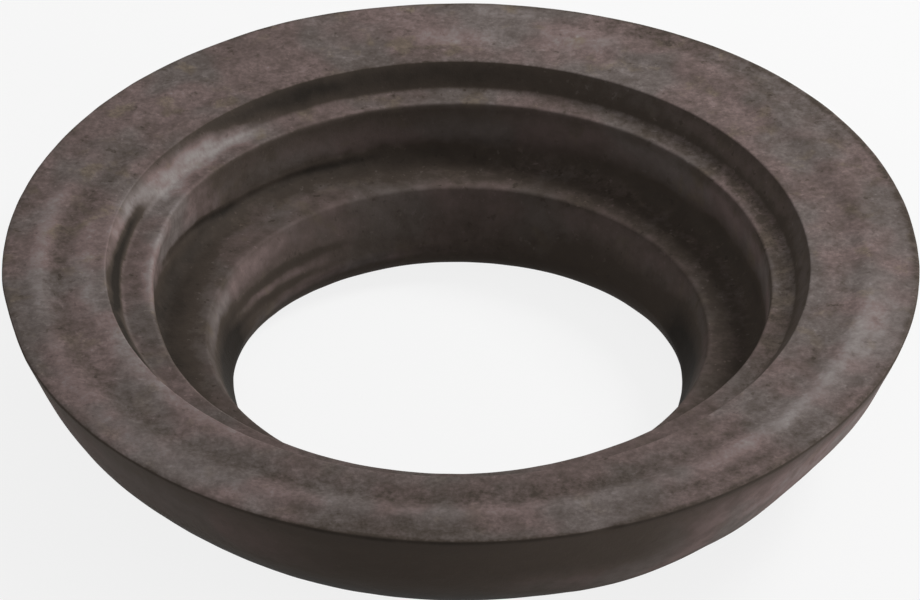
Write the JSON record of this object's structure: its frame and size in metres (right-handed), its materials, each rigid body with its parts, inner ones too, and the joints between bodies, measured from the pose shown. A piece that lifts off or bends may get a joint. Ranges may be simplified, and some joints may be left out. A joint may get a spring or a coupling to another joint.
{
  "type": "toilet gasket",
  "caption": "Moulded rubber sealing ring: flat flange with a low bead, stepped inside down to a round bore, tapered and bellied outside, narrow foot.",
  "frame": {"origin": "centre of the ring's axis on the plane that its foot rests on", "axes": "+Z along the ring's axis, from the foot up to the wide sealing flange"},
  "size_m": [0.1016, 0.1016, 0.0202],
  "materials": {
    "rubber": "dry matt black rubber with a slight brown-grey bloom"
  },
  "bodies": {
    "root": {"gasket": "rubber"}
  },
  "joints": []
}
